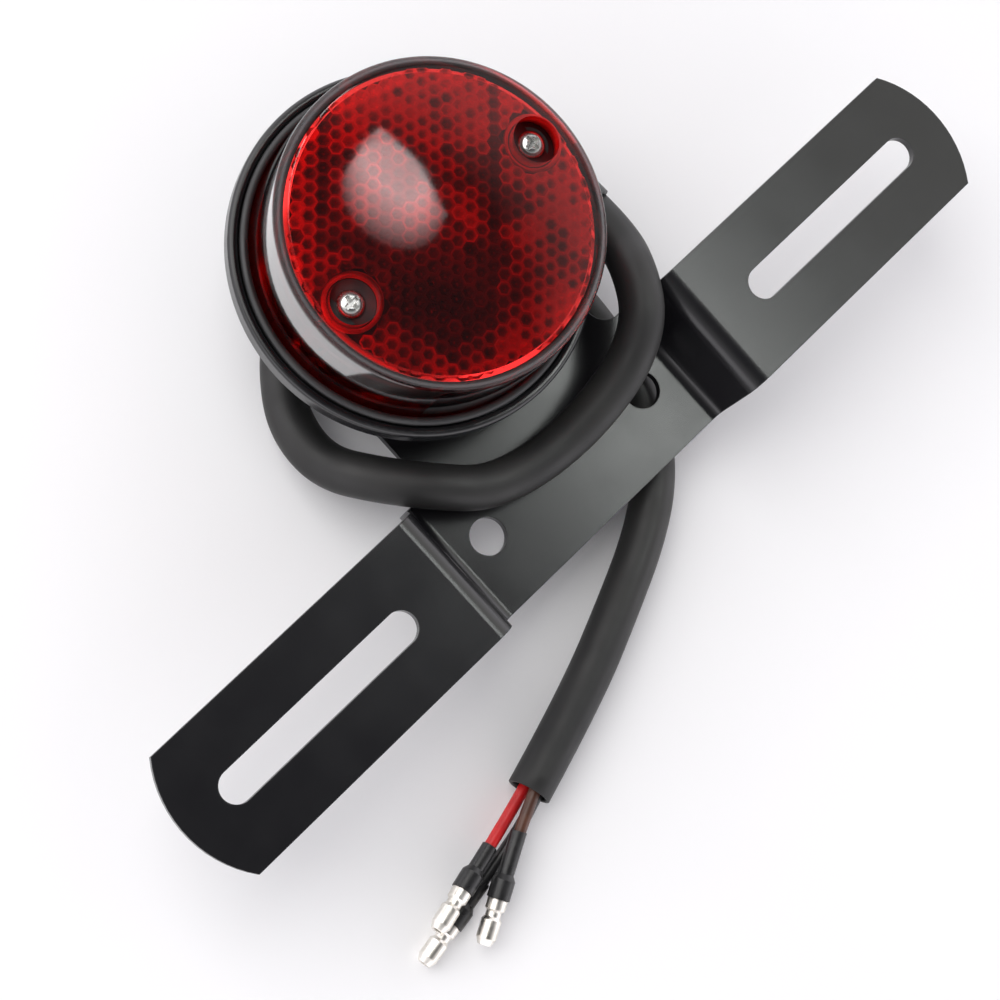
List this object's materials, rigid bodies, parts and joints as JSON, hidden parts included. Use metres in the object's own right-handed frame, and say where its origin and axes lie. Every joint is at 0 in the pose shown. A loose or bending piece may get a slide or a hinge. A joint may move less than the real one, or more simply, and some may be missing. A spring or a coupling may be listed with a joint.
{
  "type": "tail light",
  "caption": "Round red motorcycle tail light on a stepped number plate bracket, with a sleeved three-wire cable ending in bullet connectors.",
  "frame": {"origin": "centre of the bounding box of bracket and lamp in plan, on the surface that the stud tips stand on", "axes": "+X along the bracket to the side of the cable's entry, +Y from the bracket to the lamp, +Z the way the lens faces"},
  "size_m": [0.2212, 0.1513, 0.0556],
  "materials": {
    "black_paint": "satin",
    "housing_black": "gloss",
    "black_rubber": "matte",
    "zinc_steel": "satin",
    "bright_dish": "polished",
    "red_lens": "gloss",
    "clear_plastic": "gloss",
    "screw_steel": "polished",
    "brass": "satin",
    "spring_steel": "satin",
    "black_plastic": "matte",
    "bulb_glass": "clear",
    "tungsten": "matte",
    "cable_black": "satin",
    "wire_red": "satin",
    "wire_brown": "satin",
    "wire_black": "satin",
    "shrink_black": "satin",
    "tinned_brass": "polished"
  },
  "bodies": {
    "lamp": {"mounting_bracket": "black_paint", "lamp_housing": "housing_black", "mount_pad": "black_rubber", "mounting_studs": "zinc_steel", "stud_washers": "zinc_steel", "stud_spring_washers": "spring_steel", "stud_nuts": "zinc_steel", "reflector": "bright_dish", "lens": "red_lens", "plate_window": "clear_plastic", "lens_gasket": "black_rubber", "lens_posts": "zinc_steel", "screw_seals": "black_rubber", "lens_screws": "screw_steel", "socket_shell": "zinc_steel", "socket_cap": "black_plastic", "socket_bracket": "zinc_steel", "socket_rivets": "zinc_steel", "socket_terminals": "brass", "contact_spring": "spring_steel", "cable_boot": "black_rubber", "cable_sleeve": "cable_black", "wire_red": "wire_red", "wire_brown": "wire_brown", "wire_black": "wire_black", "shrink_red": "shrink_black", "shrink_brown": "shrink_black", "shrink_black": "shrink_black", "bullet_red": "tinned_brass", "bullet_brown": "tinned_brass", "bullet_black": "tinned_brass", "lead_red": "wire_red", "lead_brown": "wire_brown", "lead_black": "wire_black"},
    "contact_plate": {"contact_plunger": "black_plastic", "contact_pads": "brass"},
    "bulb": {"bulb_glass": "bulb_glass", "bulb_cap": "brass", "bulb_insulator": "black_plastic", "bulb_contacts": "tinned_brass", "bulb_stem": "bulb_glass", "bulb_filaments": "tungsten"}
  },
  "joints": [
    {"name": "bulb_push", "type": "slide", "parent": "lamp", "child": "contact_plate", "axis": [0, 1, 0], "range_m": [0, 0.0025], "stiffness_N_per_m": 800, "springref_m": -0.002, "deforming": ["contact_spring"]},
    {"name": "bulb_twist", "type": "hinge", "parent": "contact_plate", "child": "bulb", "pos_m": [0, 0.015, 0.0325], "axis": [0, -1, 0], "range_deg": [0, 20]}
  ]
}
